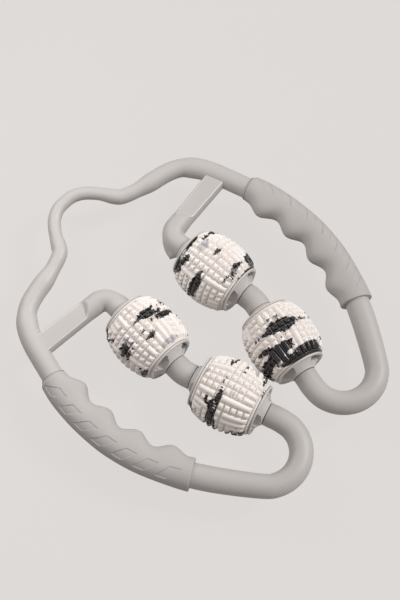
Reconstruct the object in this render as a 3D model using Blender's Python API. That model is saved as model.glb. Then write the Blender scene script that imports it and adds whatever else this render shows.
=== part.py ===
"""Ring massager: a springy grey ring with two finger grips and four studded rollers on two bent axles.

The ring lies flat with its bow towards +Y and +Z up. The origin is on the table, under the middle of
the outline. Left is -X and right is +X. Every size is in metres.
"""

import math

import bmesh
import bpy
from mathutils import Matrix, Vector

PART_NAME = "ring_massager"

# Clearance between neighbouring pieces, how far a cutter reaches past a face, and the merge distance
FIT_GAP = 0.0003
CUT_OVERRUN = 0.004
MERGE_DISTANCE = 0.00001
SMOOTH_ANGLE = math.radians(40.0)

# Overall outline of the ring: outside length, and an arm's centre line at its widest
LENGTH = 0.2522
HALF_WIDTH = 0.0993

# Tube radii along the ring, from the middle of the bow to the tail
BOW_R = 0.0045
NECK_R = 0.0052
SHOULDER_R = 0.0064
ARM_R = 0.0072
TAIL_R = 0.0081
TUBE_SIDES = 12
TUBE_STEP = 0.0078
TUBE_END_STEP = 0.0010
STEPS_PER_POINT = 6

# Hook at the tail, which turns the arm back towards the rollers
HOOK_BEND_R = 0.0224
HOOK_STRAIGHT = LENGTH * 0.0393
HOOK_SWEEP = math.radians(158.0)
HOOK_STEPS = 7

# Rollers: largest radius over the studs, radius at the rims, half length, and the hub's half length.
# The two tail rollers almost touch where they are widest
ROLLER_R = 0.0241
ROLLER_RIM_R = ROLLER_R * 0.730
ROLLER_HALF = LENGTH * 0.0807
HUB_HALF = LENGTH * 0.1033
END_PLAY = 0.0004
TAIL_ROLLER_GAP = 0.0020
TAIL_ROLLER_X = ROLLER_R + TAIL_ROLLER_GAP / 2
TAIL_TILT = math.radians(15.5)
HEAD_TILT = math.radians(3.4)

# Studded skin: the height of a stud, the slope on its sides, and half the length of the studded band
STUD_ROWS = 22
STUD_COLUMNS = 9
STUD_HEIGHT = 0.0012
STUD_SLOPE = 0.0009
STUD_BAND_HALF = ROLLER_HALF * 0.932
# Cells in each row, from the head end to the tail end: 1 is a stud, more is a bar that long. The list
# of rows is used over again until it has gone round the roller
ROW_CELL_COUNTS = (
    (1, 1, 1, 1, 1, 1, 1, 2),
    (1, 1, 1, 1, 1, 1, 1, 1, 1),
    (4, 1, 1, 1, 1, 1),
    (1, 1, 1, 1, 1, 4),
    (2, 1, 1, 1, 1, 1, 1, 1),
    (2, 1, 1, 1, 1, 1, 1, 1),
    (3, 1, 1, 1, 1, 2),
    (1, 1, 1, 1, 1, 1, 1, 1, 1),
    (1, 1, 1, 1, 1, 1, 3),
    (2, 1, 1, 1, 4),
    (3, 1, 1, 4),
)

# Drum under the skin
DRUM_R = ROLLER_R * 0.614
DRUM_WALL = 0.0022
DRUM_INSET = 0.0045
DRUM_SEGMENTS = 12

# End caps: a plug inside the skin, a flange over its rim, and a cone-shaped boss. Sunk windows leave
# petals as wide as themselves between them
CAP_FLANGE_R = ROLLER_R * 0.710
CAP_FLANGE = 0.0014
CAP_LIP = ROLLER_R * 0.104
BOSS_ROOT_R = ROLLER_R * 0.390
BOSS_TIP_R = ROLLER_R * 0.357
BOSS_ROOT_HEIGHT = 0.0024
CAP_SEGMENTS = 12
WINDOW_COUNT = 3
WINDOW_SEGMENTS = 2
WINDOW_EDGE = 0.0005
WINDOW_DEPTH = 0.0038

# Axle rod and the bearing sleeve that turns on it
AXLE_R = 0.0030
AXLE_SIDES = 10
AXLE_SOCKET = 0.0075
AXLE_BEND_R = 0.0180
AXLE_BEND_STEPS = 2
SLEEVE_WALL = 0.0012
SLEEVE_SEGMENTS = 12
SLEEVE_INSET = 0.0010

# Spacer between the two rollers of a side
SPACER_LENGTH = LENGTH * 0.0587
SPACER_R = 0.0083

# Strut: a round elbow over the head roller, and a bar with a flat top that runs out to the arm
ELBOW_R = 0.0080
ELBOW_INNER_R = 0.0008
ELBOW_BEND_R = ELBOW_R + ELBOW_INNER_R
ELBOW_BEND_STEPS = 6
ELBOW_STRAIGHT = 0.0049
ELBOW_LEG = ELBOW_BEND_R + ELBOW_STRAIGHT
ELBOW_TAPER = 0.0095
STRUT_R = 0.0070
STRUT_END_R = 0.0076
STRUT_RISE = math.radians(6.2)
STRUT_FLAT_HEIGHT = 0.0045
FLAT_START = 0.0180
FLAT_SKEW = math.radians(24.0)
SCOOP_R = 0.0036
SCOOP_STEPS = 4

# Finger grip moulded over the arm: its walls over the tube on the outer side, above, in the valleys
# and on the ridges, and at its thin head end. Its tail end is cut off square
GRIP_LENGTH = 0.1135
GRIP_HEAD_SHARE = 0.300
GRIP_PLAIN_END = 0.0056
GRIP_TAPER = 0.0025
GRIP_OUTER_WALL = 0.0022
GRIP_TOP_WALL = 0.0017
GRIP_VALLEY_WALL = 0.0028
GRIP_RIDGE_WALL = 0.0078
GRIP_END_WALL = 0.0009
GRIP_RIDGES = 4
RINGS_PER_RIDGE = 6
GRIP_SIDES = 12
BORE_RINGS = 9

# Rhombus recesses along the upper outer side of a grip. Their lower edges lie nearer the head than
# their upper ones, and their floors follow the grip's facets between two angles above level
RHOMBUS_COUNT = 7
RHOMBUS_LENGTH = 0.0073
RHOMBUS_SLANT = 0.0075
RHOMBUS_DEPTH = 0.0006
RHOMBUS_LOW_ANGLE = math.radians(24.0)
RHOMBUS_HIGH_ANGLE = math.radians(72.0)

# Half outline of the ring from beside the bow's middle to the tail: shares of HALF_WIDTH and of half
# LENGTH, with the tube's radius there
OUTLINE_SHARES = (
    (0.066, 0.959, BOW_R),
    (0.126, 0.936, BOW_R),
    (0.173, 0.902, BOW_R),
    (0.219, 0.854, BOW_R),
    (0.257, 0.803, NECK_R),
    (0.290, 0.767, NECK_R),
    (0.346, 0.745, NECK_R),
    (0.412, 0.727, NECK_R),
    (0.505, 0.709, SHOULDER_R),
    (0.598, 0.694, SHOULDER_R),
    (0.680, 0.674, SHOULDER_R),
    (0.744, 0.646, SHOULDER_R),
    (0.795, 0.604, ARM_R),
    (0.837, 0.551, ARM_R),
    (0.870, 0.488, ARM_R),
    (0.894, 0.425, ARM_R),
    (0.940, 0.294, ARM_R),
    (0.977, 0.190, ARM_R),
    (0.997, 0.060, ARM_R),
    (0.999, -0.070, ARM_R),
    (0.987, -0.177, ARM_R),
    (0.950, -0.308, ARM_R),
    (0.890, -0.438, ARM_R),
    (0.799, -0.577, TAIL_R),
    (0.694, -0.710, TAIL_R),
)
NECK_INDEX = 6

# Height of the ring's middle plane, where the lowest studs touch the table
RING_Z = ROLLER_R * math.cos(math.pi / STUD_ROWS)

# Base colours
GREY = (0.60, 0.57, 0.55)
GRIP_GREY = (0.56, 0.535, 0.52)
CREAM = (0.86, 0.82, 0.78)
DRUM_GREY = (0.42, 0.40, 0.39)
SLEEVE_WHITE = (0.80, 0.80, 0.78)
STEEL = (0.55, 0.56, 0.58)

SIDES = {"left": -1, "right": 1}


def clear_scene():
    """Start from an empty scene."""
    for obj in list(bpy.data.objects):
        bpy.data.objects.remove(obj, do_unlink=True)


def make_collection(name):
    """A named collection linked to the scene."""
    collection = bpy.data.collections.new(name)
    bpy.context.scene.collection.children.link(collection)
    return collection


def make_material(name, colour, roughness, metallic):
    """A Principled material in one plain colour."""
    material = bpy.data.materials.new(name)
    material.use_nodes = True
    shader = material.node_tree.nodes["Principled BSDF"]
    shader.inputs["Base Color"].default_value = (*colour, 1.0)
    shader.inputs["Roughness"].default_value = roughness
    shader.inputs["Metallic"].default_value = metallic
    material.diffuse_color = (*colour, 1.0)
    return material


def make_materials():
    """The materials by name."""
    return {
        "frame": make_material("frame_plastic", GREY, 0.55, 0.0),
        "grip": make_material("grip_rubber", GRIP_GREY, 0.70, 0.0),
        "skin": make_material("roller_rubber", CREAM, 0.60, 0.0),
        "drum": make_material("drum_plastic", DRUM_GREY, 0.60, 0.0),
        "sleeve": make_material("sleeve_plastic", SLEEVE_WHITE, 0.35, 0.0),
        "steel": make_material("axle_steel", STEEL, 0.30, 1.0),
    }


class Workshop:
    """The collections and materials that every piece is made with."""

    def __init__(self):
        self.parts = make_collection(PART_NAME)
        self.cutters = make_collection("cutters")
        self.materials = make_materials()

    def add_part(self, obj, material):
        """Put a finished piece among the parts."""
        self.parts.objects.link(obj)
        obj.data.materials.append(self.materials[material])
        return obj

    def add_cutter(self, obj):
        """Put a cutter where it is shown as wire and never rendered."""
        self.cutters.objects.link(obj)
        obj.hide_render = True
        obj.display_type = "WIRE"
        return obj


# Runs in plan. Each point holds X, Y and, in place of Z, the tube's radius there.

def smooth_run(points, steps):
    """A smooth run through the points, which starts at the second and ends at the last but one."""
    run = []
    for before, here, there, after in zip(points, points[1:], points[2:], points[3:]):
        for step in range(steps):
            t = step / steps
            slope = (there - before) * t
            bend = (before * 2.0 - here * 5.0 + there * 4.0 - after) * t ** 2
            twist = (here * 3.0 - before - there * 3.0 + after) * t ** 3
            run.append(here + (slope + bend + twist) / 2.0)
    run.append(points[-2].copy())
    return run


def run_lengths(run):
    """The distance along a run to each of its points."""
    lengths = [0.0]
    for here, there in zip(run, run[1:]):
        lengths.append(lengths[-1] + (there.xy - here.xy).length)
    return lengths


def point_at(run, distance):
    """The point that lies the given distance along a run."""
    lengths = run_lengths(run)
    index = 1
    while lengths[index] < distance and index < len(run) - 1:
        index += 1
    share = (distance - lengths[index - 1]) / (lengths[index] - lengths[index - 1])
    return run[index - 1].lerp(run[index], share)


def way_at(run, distance, reach):
    """The level direction of a run at a distance, taken over a short reach."""
    return (point_at(run, distance + reach).xy - point_at(run, distance - reach).xy).normalized()


def cut_run(run, start, end, step):
    """Evenly spaced points of a run between two distances, with a short straight step at each end."""
    count = max(2, round((end - start) / step))
    points = [point_at(run, start + (end - start) * i / count) for i in range(count + 1)]
    first_step = Vector((*way_at(run, start, TUBE_END_STEP), 0.0)) * TUBE_END_STEP
    last_step = Vector((*way_at(run, end, TUBE_END_STEP), 0.0)) * TUBE_END_STEP
    return [points[0], points[0] + first_step, *points[1:-1], points[-1] - last_step, points[-1]]


def heading(angle):
    """A level direction: 0 is along +X and a quarter turn is along +Y."""
    return Vector((math.cos(angle), math.sin(angle)))


def turned_left(way):
    """The level direction a quarter turn to the left."""
    return Vector((-way.y, way.x))


def arc(start, way, radius, sweep, steps):
    """Points on a level arc that starts along a direction. A positive sweep turns left."""
    centre = start + turned_left(way) * math.copysign(radius, sweep)
    spoke = start - centre
    points = []
    for step in range(steps + 1):
        points.append(centre + Matrix.Rotation(sweep * step / steps, 2) @ spoke)
    return points


def rounded_corner(corner, way_in, way_out, radius, steps):
    """Points on the arc that rounds a corner between two directions."""
    cross = way_in.x * way_out.y - way_in.y * way_out.x
    sweep = math.atan2(cross, way_in.dot(way_out))
    start = corner - way_in * radius * math.tan(abs(sweep) / 2)
    return arc(start, way_in, radius, sweep, steps)


def with_radius(points, radius):
    """Run points that all have one tube radius."""
    return [Vector((point.x, point.y, radius)) for point in points]


def mirrored(run, side):
    """The run on one side: +1 is the right and -1 the left."""
    return [Vector((side * point.x, point.y, point.z)) for point in run]


class Plan:
    """Places of the right side in plan, worked out from the tail upwards."""

    def __init__(self):
        hub_reach = HUB_HALF + END_PLAY
        self.tail_way = heading(math.pi / 2 - TAIL_TILT)
        self.head_way = heading(math.pi / 2 + HEAD_TILT)
        self.place_tail(hub_reach)
        self.bend = self.tail_roller + self.tail_way * (hub_reach + SPACER_LENGTH / 2)
        self.head_roller = self.bend + self.head_way * (hub_reach + SPACER_LENGTH / 2)
        self.elbow_end = self.head_roller + self.head_way * hub_reach
        self.elbow_corner = self.elbow_end + self.head_way * ELBOW_LEG
        self.strut_way = heading(STRUT_RISE)
        self.ring = self.half_ring()
        self.ring_length = run_lengths(self.ring)[-1]
        self.neck = run_lengths(self.ring)[NECK_INDEX * STEPS_PER_POINT]
        self.grip_start = self.distance_at_y(GRIP_HEAD_SHARE * LENGTH / 2)
        self.strut_length = self.distance_to_arm()

    def place_tail(self, hub_reach):
        """Place the hook so that its tube touches the tail of the outline, and the tail roller."""
        hook_y = TAIL_R + HOOK_BEND_R - LENGTH / 2
        spoke = turned_left(self.tail_way) * HOOK_BEND_R
        roller_above_hook = spoke + self.tail_way * (HOOK_STRAIGHT + hub_reach)
        hook_centre = Vector((TAIL_ROLLER_X - roller_above_hook.x, hook_y))
        self.hook_top = hook_centre + spoke
        self.tube_end = self.hook_top + self.tail_way * HOOK_STRAIGHT
        self.tail_roller = self.tube_end + self.tail_way * hub_reach

    def half_ring(self):
        """The right half of the ring's centre line, from the bow's middle to the tail roller."""
        crown = Vector((0.0, LENGTH / 2 - BOW_R, BOW_R))
        points = [crown]
        for x_share, y_share, radius in OUTLINE_SHARES:
            points.append(Vector((x_share * HALF_WIDTH, y_share * LENGTH / 2, radius)))
        hook = arc(self.hook_top, -self.tail_way, HOOK_BEND_R, HOOK_SWEEP, HOOK_STEPS)
        points += with_radius(reversed(hook), TAIL_R)
        points += with_radius([self.tube_end], TAIL_R)
        before = Vector((-points[1].x, points[1].y, points[1].z))
        beyond = with_radius([self.tube_end + self.tail_way * HOOK_STRAIGHT], TAIL_R)
        return smooth_run([before, *points, *beyond], STEPS_PER_POINT)

    def distance_at_y(self, y):
        """How far along the ring its centre line falls to the given Y."""
        lengths = run_lengths(self.ring)
        for index, point in enumerate(self.ring):
            if point.y < y:
                return lengths[index]
        return lengths[-1]

    def distance_to_arm(self):
        """How far the strut's centre line runs from the elbow's corner to the arm's."""
        across = turned_left(self.strut_way)
        for here, there in zip(self.ring, self.ring[1:]):
            above = (here.xy - self.elbow_corner).dot(across)
            below = (there.xy - self.elbow_corner).dot(across)
            ahead = (here.xy - self.elbow_corner).dot(self.strut_way)
            if above > 0.0 >= below and ahead > 0.0:
                crossing = here.lerp(there, above / (above - below))
                return (crossing.xy - self.elbow_corner).dot(self.strut_way)
        raise ValueError("the strut's line misses the arm")

    def axle_line(self, radius):
        """The axle's centre line from inside the elbow to inside the hook's tube."""
        start = self.elbow_end + self.head_way * AXLE_SOCKET
        end = self.tube_end - self.tail_way * AXLE_SOCKET
        ways = (-self.head_way, -self.tail_way)
        middle = rounded_corner(self.bend, *ways, AXLE_BEND_R, AXLE_BEND_STEPS)
        return with_radius([start, *middle, end], radius)

    def spacer_line(self, radius):
        """The spacer's centre line, which follows the axle round its bend."""
        start = self.bend + self.head_way * SPACER_LENGTH / 2
        end = self.bend - self.tail_way * SPACER_LENGTH / 2
        ways = (-self.head_way, -self.tail_way)
        middle = rounded_corner(self.bend, *ways, AXLE_BEND_R, AXLE_BEND_STEPS)
        return with_radius([start, *middle, end], radius)

    def strut_line(self):
        """The strut's centre line from the elbow's end round the elbow and out to the arm's."""
        ways = (self.head_way, self.strut_way)
        turn = rounded_corner(self.elbow_corner, *ways, ELBOW_BEND_R, ELBOW_BEND_STEPS)
        far_end = self.elbow_corner + self.strut_way * self.strut_length
        elbow = with_radius([self.elbow_end, *turn], ELBOW_R)
        bar_start = with_radius([turn[-1] + self.strut_way * ELBOW_TAPER], STRUT_R)
        return elbow + bar_start + with_radius([far_end], STRUT_END_R)


# Shapes

def tube(name, run, sides):
    """A curve object with the run's radius at each point and filled ends, at the ring's height."""
    curve = bpy.data.curves.new(name, "CURVE")
    curve.dimensions = "3D"
    curve.twist_mode = "Z_UP"
    curve.bevel_depth = ARM_R
    curve.bevel_resolution = sides // 2 - 2
    curve.use_fill_caps = True
    spline = curve.splines.new("POLY")
    spline.points.add(len(run) - 1)
    for point, place in zip(spline.points, run):
        point.co = (place.x, place.y, RING_Z, 1.0)
        point.radius = place.z / ARM_R
    return bpy.data.objects.new(name, curve)


def solid_tube(name, run, sides):
    """A closed mesh of a tube, with its end caps welded on."""
    drawn = tube(name + "_curve", run, sides)
    bpy.context.scene.collection.objects.link(drawn)
    bpy.context.view_layer.update()
    evaluated = drawn.evaluated_get(bpy.context.evaluated_depsgraph_get())
    mesh = bpy.data.meshes.new_from_object(evaluated)
    mesh.name = name
    bpy.data.objects.remove(drawn, do_unlink=True)
    bm = bmesh.new()
    bm.from_mesh(mesh)
    bmesh.ops.remove_doubles(bm, verts=bm.verts, dist=MERGE_DISTANCE)
    return finished_mesh(name, bm, mesh)


def finished_mesh(name, bm, mesh=None):
    """Turn the faces outwards, shade round stretches smooth and make the object."""
    bmesh.ops.recalc_face_normals(bm, faces=bm.faces)
    mesh = mesh or bpy.data.meshes.new(name)
    bm.to_mesh(mesh)
    bm.free()
    mesh.shade_smooth()
    mesh.set_sharp_from_angle(angle=SMOOTH_ANGLE)
    return bpy.data.objects.new(name, mesh)


def spun_bmesh(profile, segments):
    """A closed profile of radius and height turned about the Z axis."""
    bm = bmesh.new()
    verts = [bm.verts.new((radius, 0.0, height)) for radius, height in profile]
    edges = [bm.edges.new((a, b)) for a, b in zip(verts, verts[1:] + verts[:1])]
    bmesh.ops.spin(
        bm, geom=verts + edges, axis=(0.0, 0.0, 1.0), cent=(0.0, 0.0, 0.0),
        angle=2 * math.pi, steps=segments, use_merge=True)
    bmesh.ops.remove_doubles(bm, verts=bm.verts, dist=MERGE_DISTANCE)
    bmesh.ops.recalc_face_normals(bm, faces=bm.faces)
    return bm


def cut(obj, cutter):
    """Take a cutter's shape out of an object."""
    modifier = obj.modifiers.new("cut_" + cutter.name, "BOOLEAN")
    modifier.operation = "DIFFERENCE"
    modifier.solver = "EXACT"
    modifier.object = cutter


def prism(name, outline, lift):
    """A solid of a flat outline moved along a direction, both in 3D."""
    bm = bmesh.new()
    face = bm.faces.new([bm.verts.new(point) for point in outline])
    moved = bmesh.ops.extrude_face_region(bm, geom=[face])
    corners = [item for item in moved["geom"] if isinstance(item, bmesh.types.BMVert)]
    bmesh.ops.translate(bm, verts=corners, vec=lift)
    return finished_mesh(name, bm)


def level(point, height):
    """A point in plan placed at a height above the ring's middle plane."""
    return Vector((point.x, point.y, RING_Z + height))


# Frame

def make_bow(shop, plan):
    """The thin springy loop between the two necks."""
    half = cut_run(plan.ring, 0.0, plan.neck - FIT_GAP / 2, TUBE_STEP)
    run = list(reversed(mirrored(half[1:], -1))) + half
    return shop.add_part(tube("spring_bow", run, TUBE_SIDES), "frame")


def make_arm(shop, plan, word, side):
    """One arm of the frame, from the neck round to the hook, with a socket for the axle.

    Inside the grip its rings lie where the rings of the grip's bore do, so the gap stays even.
    """
    grip_end = plan.grip_start + GRIP_LENGTH
    run = cut_run(plan.ring, plan.neck + FIT_GAP / 2, plan.grip_start, TUBE_STEP)[:-2]
    for step in range(BORE_RINGS + 1):
        run.append(point_at(plan.ring, plan.grip_start + GRIP_LENGTH * step / BORE_RINGS))
    run += cut_run(plan.ring, grip_end, plan.ring_length, TUBE_STEP)[2:]
    arm = shop.add_part(solid_tube(word + "_arm", mirrored(run, side), TUBE_SIDES), "frame")
    cut(arm, socket_cutter(shop, plan, word + "_arm_socket", side))
    return arm


def socket_cutter(shop, plan, name, side):
    """The axle with clearance all round, which cuts both of its sockets."""
    line = plan.axle_line((AXLE_R + FIT_GAP) / math.cos(math.pi / AXLE_SIDES))
    line[0] = line[0] + Vector((*plan.head_way, 0.0)) * FIT_GAP
    line[-1] = line[-1] - Vector((*plan.tail_way, 0.0)) * FIT_GAP
    return shop.add_cutter(solid_tube(name, mirrored(line, side), AXLE_SIDES))


def make_strut(shop, plan, word, side):
    """The elbow and the flat-topped bar that carry the head end of the axle."""
    name = word + "_strut"
    strut = shop.add_part(solid_tube(name, mirrored(plan.strut_line(), side), TUBE_SIDES), "frame")
    cut(strut, arm_cutter(shop, plan, name + "_end", side))
    cut(strut, flat_cutter(shop, plan, name + "_flat", side))
    cut(strut, socket_cutter(shop, plan, name + "_socket", side))
    return strut


def arm_cutter(shop, plan, name, side):
    """The arm with clearance, which trims the strut's end to sit against it."""
    run = cut_run(plan.ring, plan.neck, plan.grip_start, TUBE_STEP)
    grown = [Vector((p.x, p.y, (p.z + FIT_GAP) / math.cos(math.pi / TUBE_SIDES))) for p in run]
    return shop.add_cutter(solid_tube(name, mirrored(grown, side), TUBE_SIDES))


def flat_cutter(shop, plan, name, side):
    """What stands above the bar's flat top, with a scooped end towards the elbow."""
    across = turned_left(plan.strut_way)
    skew_way = across - plan.strut_way * math.tan(FLAT_SKEW)
    half_width = STRUT_END_R + CUT_OVERRUN
    far_end = plan.strut_length + CUT_OVERRUN
    ceiling = STRUT_FLAT_HEIGHT + SCOOP_R + CUT_OVERRUN
    profile = [(far_end, STRUT_FLAT_HEIGHT)]
    for step in range(SCOOP_STEPS + 1):
        angle = math.pi / 2 * step / SCOOP_STEPS
        ahead = FLAT_START - SCOOP_R * math.sin(angle)
        profile.append((ahead, STRUT_FLAT_HEIGHT + SCOOP_R * (1 - math.cos(angle))))
    profile += [(profile[-1][0], ceiling), (far_end, ceiling)]
    outline = []
    for ahead, height in profile:
        point = plan.elbow_corner + plan.strut_way * ahead - skew_way * half_width
        outline.append(level(Vector((side * point.x, point.y)), height))
    lift = Vector((side * skew_way.x, skew_way.y, 0.0)) * half_width * 2
    return shop.add_cutter(prism(name, outline, lift))


# Grips

def grip_distances():
    """Distances along a grip of its rings, close together at the tapered head end."""
    ridged = GRIP_LENGTH - GRIP_PLAIN_END * 2
    count = GRIP_RIDGES * RINGS_PER_RIDGE
    middle = [GRIP_PLAIN_END + ridged * step / count for step in range(count + 1)]
    return [0.0, GRIP_TAPER / 3, GRIP_TAPER, *middle, GRIP_LENGTH]


def grip_walls(distance):
    """Wall thickness on the outer side, above and on the finger side, at a distance along a grip."""
    swell = math.sin(math.pi / 2 * min(1.0, distance / GRIP_TAPER))
    along = (distance - GRIP_PLAIN_END) / (GRIP_LENGTH - GRIP_PLAIN_END * 2)
    wave = 0.0
    if 0.0 < along < 1.0:
        wave = (1 - math.cos(2 * math.pi * GRIP_RIDGES * along)) / 2
    finger = GRIP_VALLEY_WALL + (GRIP_RIDGE_WALL - GRIP_VALLEY_WALL) * wave
    walls = (GRIP_OUTER_WALL, GRIP_TOP_WALL, finger)
    return [GRIP_END_WALL + (wall - GRIP_END_WALL) * swell for wall in walls]


def grip_section(plan, distance, walls, side):
    """Corners of a grip square to the arm, with their own reach outwards, upwards and inwards."""
    place = point_at(plan.ring, plan.grip_start + distance)
    outward = turned_left(way_at(plan.ring, plan.grip_start + distance, GRIP_TAPER))
    base = (place.z + FIT_GAP) / math.cos(math.pi / GRIP_SIDES)
    outer, top, finger = [base + wall for wall in walls]
    corners = []
    for index in range(GRIP_SIDES):
        angle = 2 * math.pi * index / GRIP_SIDES
        reach = outer if math.cos(angle) > 0.0 else finger
        point = place.xy + outward * reach * math.cos(angle)
        corners.append(level(Vector((side * point.x, point.y)), top * math.sin(angle)))
    return corners


def make_grip(shop, plan, word, side):
    """A soft sleeve round the arm with finger ridges on its inner side."""
    bm = bmesh.new()
    sections = [grip_section(plan, d, grip_walls(d), side) for d in grip_distances()]
    for step in range(BORE_RINGS, -1, -1):
        bare = (0.0, 0.0, 0.0)
        sections.append(grip_section(plan, GRIP_LENGTH * step / BORE_RINGS, bare, side))
    rings = [[bm.verts.new(corner) for corner in corners] for corners in sections]
    for here, there in zip(rings, rings[1:] + rings[:1]):
        for index in range(GRIP_SIDES):
            after = (index + 1) % GRIP_SIDES
            bm.faces.new((here[index], here[after], there[after], there[index]))
    grip = shop.add_part(finished_mesh(word + "_grip", bm), "grip")
    for number in range(RHOMBUS_COUNT):
        cut(grip, rhombus_cutter(shop, plan, f"{word}_rhombus_{number + 1}", number, side))
    return grip


def rhombus_cutter(shop, plan, name, number, side):
    """A slanted four-sided block with a floor at an even depth under the grip's facets."""
    span = GRIP_LENGTH - GRIP_PLAIN_END * 2
    middle = GRIP_PLAIN_END + span * (number + 0.5) / RHOMBUS_COUNT
    facet = 2 * math.pi / GRIP_SIDES
    corners = [index * facet for index in range(GRIP_SIDES)]
    between = [angle for angle in corners if RHOMBUS_LOW_ANGLE < angle < RHOMBUS_HIGH_ANGLE]
    floor = []
    roof = []
    for angle in [RHOMBUS_LOW_ANGLE, *between, RHOMBUS_HIGH_ANGLE]:
        share = (angle - RHOMBUS_LOW_ANGLE) / (RHOMBUS_HIGH_ANGLE - RHOMBUS_LOW_ANGLE)
        start = middle - RHOMBUS_LENGTH / 2 + RHOMBUS_SLANT * (share - 0.5)
        ends = (start, start + RHOMBUS_LENGTH)
        floor.append([over_facet(plan, end, angle, -RHOMBUS_DEPTH, side) for end in ends])
        roof.append([over_facet(plan, end, angle, CUT_OVERRUN, side) for end in ends])
    return shop.add_cutter(slab(name, floor, roof))


def over_facet(plan, distance, angle, lift, side):
    """A point on the facets of a grip at an angle above level, lifted off them by a distance."""
    walls = [wall + lift for wall in grip_walls(distance)]
    corners = grip_section(plan, distance, walls, side)
    turn = angle / (2 * math.pi) * GRIP_SIDES
    first = int(turn)
    return corners[first].lerp(corners[first + 1], turn - first)


def slab(name, floor, roof):
    """A closed solid between two grids of points with as many rows and columns."""
    bm = bmesh.new()
    low, high = [[[bm.verts.new(point) for point in row] for row in grid] for grid in (floor, roof)]
    last_row = len(floor) - 1
    last_column = len(floor[0]) - 1
    for grid in (low, high):
        for here, there in zip(grid, grid[1:]):
            for column in range(last_column):
                bm.faces.new((here[column], here[column + 1], there[column + 1], there[column]))
    for row in range(last_row):
        for column in (0, last_column):
            bm.faces.new((low[row][column], low[row + 1][column], high[row + 1][column], high[row][column]))
    for column in range(last_column):
        for row in (0, last_row):
            bm.faces.new((low[row][column], low[row][column + 1], high[row][column + 1], high[row][column]))
    return finished_mesh(name, bm)


# Axles and spacers

def make_axle(shop, plan, word, side):
    """A bent steel rod through both rollers of a side."""
    line = mirrored(plan.axle_line(AXLE_R), side)
    return shop.add_part(tube(word + "_axle", line, AXLE_SIDES), "steel")


def make_spacer(shop, plan, word, side):
    """A bent collar on the axle between the two rollers of a side."""
    name = word + "_spacer"
    line = mirrored(plan.spacer_line(SPACER_R), side)
    spacer = shop.add_part(solid_tube(name, line, TUBE_SIDES), "frame")
    cut(spacer, socket_cutter(shop, plan, name + "_bore", side))
    return spacer


# Rollers

def barrel_radius(height):
    """Radius over the studs at a distance from the roller's middle."""
    fall = ROLLER_R - ROLLER_RIM_R - STUD_HEIGHT
    return ROLLER_R - fall * (height / ROLLER_HALF) ** 2


def skin_mesh():
    """The roller's skin: a barrel with V grooves between square studs and long bars."""
    cell = STUD_BAND_HALF * 2 / STUD_COLUMNS
    bore = DRUM_R + FIT_GAP
    heights = [STUD_BAND_HALF - cell * column for column in range(STUD_COLUMNS + 1)]
    profile = [(bore, ROLLER_HALF), (ROLLER_RIM_R, ROLLER_HALF)]
    profile += [(barrel_radius(height) - STUD_HEIGHT, height) for height in heights]
    profile += [(ROLLER_RIM_R, -ROLLER_HALF), (bore, -ROLLER_HALF)]
    bm = spun_bmesh(profile, STUD_ROWS)
    cells = {}
    for face in bm.faces:
        middle = face.calc_center_median()
        column = (STUD_BAND_HALF - middle.z) / cell
        if 0.0 < column < STUD_COLUMNS and middle.xy.length > bore:
            row = math.atan2(middle.y, middle.x) % (2 * math.pi) / (2 * math.pi) * STUD_ROWS
            cells[int(row), int(column)] = face
    for row in range(STUD_ROWS):
        column = 0
        for length in ROW_CELL_COUNTS[row % len(ROW_CELL_COUNTS)]:
            block = [cells[row, column + step] for step in range(length)]
            bmesh.ops.inset_region(
                bm, faces=block, use_boundary=True, use_even_offset=True,
                thickness=STUD_SLOPE, depth=STUD_HEIGHT)
            column += length
    return finished_mesh("roller_skin", bm)


def drum_mesh():
    """The hard drum that backs the skin."""
    half = ROLLER_HALF - DRUM_INSET
    inner = DRUM_R - DRUM_WALL
    profile = [(inner, half), (DRUM_R, half), (DRUM_R, -half), (inner, -half)]
    return finished_mesh("roller_drum", spun_bmesh(profile, DRUM_SEGMENTS))


def sleeve_radii():
    """Inner and outer radius of the bearing sleeve."""
    inner = (AXLE_R + FIT_GAP) / math.cos(math.pi / SLEEVE_SEGMENTS)
    return inner, inner + SLEEVE_WALL


def cap_mesh():
    """An end cap: plug, flange, and a cone-shaped boss that rises between the windows."""
    bore = (sleeve_radii()[1] + FIT_GAP) / math.cos(math.pi / CAP_SEGMENTS)
    plug = DRUM_R * math.cos(math.pi / STUD_ROWS)
    seat = ROLLER_HALF + FIT_GAP
    face = seat + CAP_FLANGE
    lip = CAP_FLANGE_R - CAP_LIP
    profile = [(bore, ROLLER_HALF - DRUM_INSET + FIT_GAP), (bore, HUB_HALF), (BOSS_TIP_R, HUB_HALF)]
    profile += [(BOSS_ROOT_R, face + BOSS_ROOT_HEIGHT), (lip, face), (CAP_FLANGE_R, face)]
    profile += [(CAP_FLANGE_R, seat), (plug, seat), (plug, ROLLER_HALF - DRUM_INSET + FIT_GAP)]
    bm = spun_bmesh(profile, CAP_SEGMENTS)
    band = {}
    for item in bm.faces:
        middle = item.calc_center_median()
        if BOSS_ROOT_R < middle.xy.length < lip and middle.z > face:
            turn = math.atan2(middle.y, middle.x) % (2 * math.pi)
            band[int(turn / (2 * math.pi) * CAP_SEGMENTS)] = item
    for first in range(0, CAP_SEGMENTS, CAP_SEGMENTS // WINDOW_COUNT):
        window = [band[first + step] for step in range(WINDOW_SEGMENTS)]
        bmesh.ops.inset_region(
            bm, faces=window, use_boundary=True, use_even_offset=True,
            thickness=WINDOW_EDGE, depth=-WINDOW_DEPTH)
    return finished_mesh("roller_cap", bm)


def sleeve_mesh():
    """The bearing sleeve pressed through both caps."""
    inner, outer = sleeve_radii()
    half = HUB_HALF - SLEEVE_INSET
    profile = [(inner, half), (outer, half), (outer, -half), (inner, -half)]
    return finished_mesh("roller_sleeve", spun_bmesh(profile, SLEEVE_SEGMENTS))


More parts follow.
